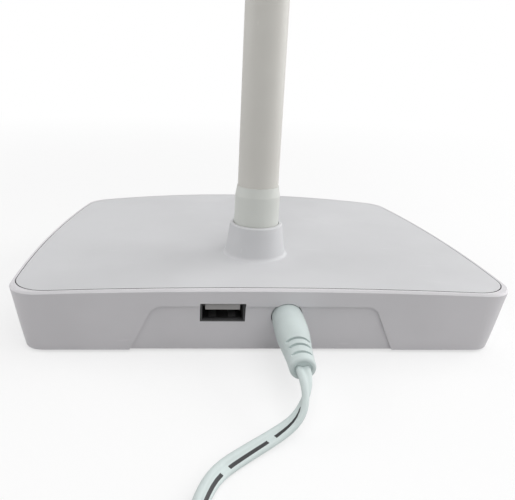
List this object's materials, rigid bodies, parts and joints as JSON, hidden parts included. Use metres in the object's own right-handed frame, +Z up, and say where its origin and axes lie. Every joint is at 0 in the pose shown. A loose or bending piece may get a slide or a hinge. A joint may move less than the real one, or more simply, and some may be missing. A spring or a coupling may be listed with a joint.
{
  "type": "led desk lamp",
  "caption": "Desk lamp with a keystone base, a USB outlet and a low-voltage lead at the rear, a swivelling stem and a tilting light bar with a button and a dimmer rocker.",
  "frame": {"origin": "on the stem's swivel axis, at the underside of the rubber pad, where the lamp rests on the table", "axes": "+Z up along the stem, +Y to the rear where the sockets are, -Y forwards along the light bar, +X to the viewer's left in a view from the rear"},
  "size_m": [0.1666, 0.4768, 0.3686],
  "materials": {
    "tray_plastic": "fine satin moulded finish",
    "cover_plastic": "satin moulded finish",
    "head_plastic": "satin moulded finish",
    "stem_paint": "satin powder coat",
    "sleeve_plastic": "satin moulded finish",
    "steel": "zinc plated",
    "weight_steel": "oiled plate",
    "pad_rubber": "matt moulded rubber",
    "slip_plastic": "low-friction plastic",
    "board_laminate": "solder resist",
    "light_board_white": "white solder resist",
    "component_black": "moulded epoxy",
    "led_resin": "phosphor resin",
    "usb_steel": "nickel plated",
    "usb_tongue": "moulded",
    "contact_gold": "gold flash",
    "wire_vinyl": "vinyl sheath",
    "hinge_cast": "die-cast",
    "diffuser_opal": "opal acrylic",
    "button_plastic": "satin moulded finish",
    "lead_vinyl": "soft vinyl",
    "adapter_plastic": "moulded"
  },
  "bodies": {
    "root": {"base_tray": "tray_plastic", "top_cover": "cover_plastic", "counterweight": "weight_steel", "foot_pad": "pad_rubber", "base_screws": "steel", "control_board": "board_laminate", "board_components": "component_black", "board_screws": "steel", "usb_shell": "usb_steel", "usb_insulator": "usb_tongue", "usb_contacts": "contact_gold", "dc_jack": "component_black", "dc_jack_pin": "usb_steel", "base_harness": "wire_vinyl", "thrust_washer": "slip_plastic", "dc_plug": "lead_vinyl", "dc_plug_barrel": "usb_steel", "power_cord": "lead_vinyl", "cord_coil": "lead_vinyl", "cord_tail": "lead_vinyl", "adapter_case": "adapter_plastic", "adapter_relief": "lead_vinyl", "adapter_blades": "usb_steel"},
    "stem": {"stem_sleeve": "sleeve_plastic", "stop_ring": "steel", "wave_washer": "steel", "swivel_nut": "steel", "stem_tube": "stem_paint", "stem_yoke": "sleeve_plastic", "stem_harness": "wire_vinyl", "hinge_pin": "steel", "hinge_nut": "steel", "hinge_washers": "slip_plastic", "hinge_caps": "sleeve_plastic"},
    "head": {"head_knuckle": "hinge_cast", "knuckle_screws": "steel", "head_shell": "head_plastic", "head_bezel": "head_plastic", "head_screws": "steel", "diffuser": "diffuser_opal", "led_board": "light_board_white", "leds": "led_resin", "led_screws": "steel", "switch_board": "board_laminate", "switch_screws": "steel", "tact_switches": "component_black", "head_harness": "wire_vinyl"},
    "button": {"power_button": "button_plastic"},
    "rocker": {"dim_rocker": "button_plastic"}
  },
  "joints": [
    {"name": "stem_swivel", "type": "hinge", "parent": "root", "child": "stem", "pos_m": [0, 0, 0.03], "axis": [0, 0, 1], "range_deg": [-90, 90]},
    {"name": "head_tilt", "type": "hinge", "parent": "stem", "child": "head", "pos_m": [0, 0, 0.345], "axis": [-1, 0, 0], "range_deg": [-88, 40]},
    {"name": "button_press", "type": "slide", "parent": "head", "child": "button", "axis": [0, 0, -1], "range_m": [0, 0.0008], "stiffness_N_per_m": 600, "springref_m": -0.001},
    {"name": "rocker_tilt", "type": "hinge", "parent": "head", "child": "rocker", "pos_m": [0, -0.037, 0.3648], "axis": [1, 0, 0], "range_deg": [-4, 4], "stiffness_Nm_per_rad": 0.05}
  ]
}
